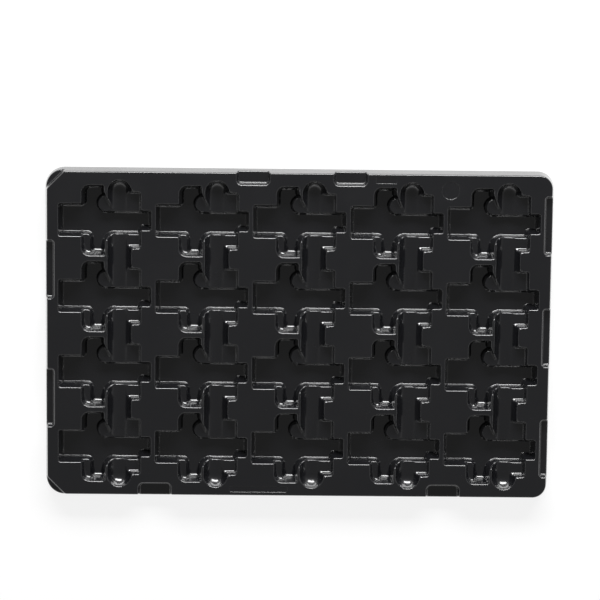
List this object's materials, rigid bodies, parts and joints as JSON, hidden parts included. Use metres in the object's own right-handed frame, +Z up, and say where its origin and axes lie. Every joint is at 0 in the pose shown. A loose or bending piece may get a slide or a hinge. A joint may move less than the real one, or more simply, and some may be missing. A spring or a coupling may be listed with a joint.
{
  "type": "component tray",
  "caption": "Shallow black thermoformed tray with rows of cross-shaped pockets, finger channels, a flared skirt and stacking notches in its edges.",
  "frame": {"origin": "middle of the footprint, on the surface that the tray stands on", "axes": "+Z up out of the pockets, +X along the rows of pockets to the plain corners, +Y towards the back edge"},
  "size_m": [0.3416, 0.2226, 0.0131],
  "materials": {
    "sheet": "satin"
  },
  "bodies": {
    "root": {"pocket_r1_c1": "sheet", "pocket_r1_c2": "sheet", "pocket_r1_c3": "sheet", "pocket_r1_c4": "sheet", "pocket_r1_c5": "sheet", "pocket_r2_c1": "sheet", "pocket_r2_c2": "sheet", "pocket_r2_c3": "sheet", "pocket_r2_c4": "sheet", "pocket_r2_c5": "sheet", "pocket_r3_c1": "sheet", "pocket_r3_c2": "sheet", "pocket_r3_c3": "sheet", "pocket_r3_c4": "sheet", "pocket_r3_c5": "sheet", "pocket_r4_c1": "sheet", "pocket_r4_c2": "sheet", "pocket_r4_c3": "sheet", "pocket_r4_c4": "sheet", "pocket_r4_c5": "sheet", "rim_left": "sheet", "rim_right": "sheet", "rim_back": "sheet", "rim_front": "sheet"}
  },
  "joints": []
}
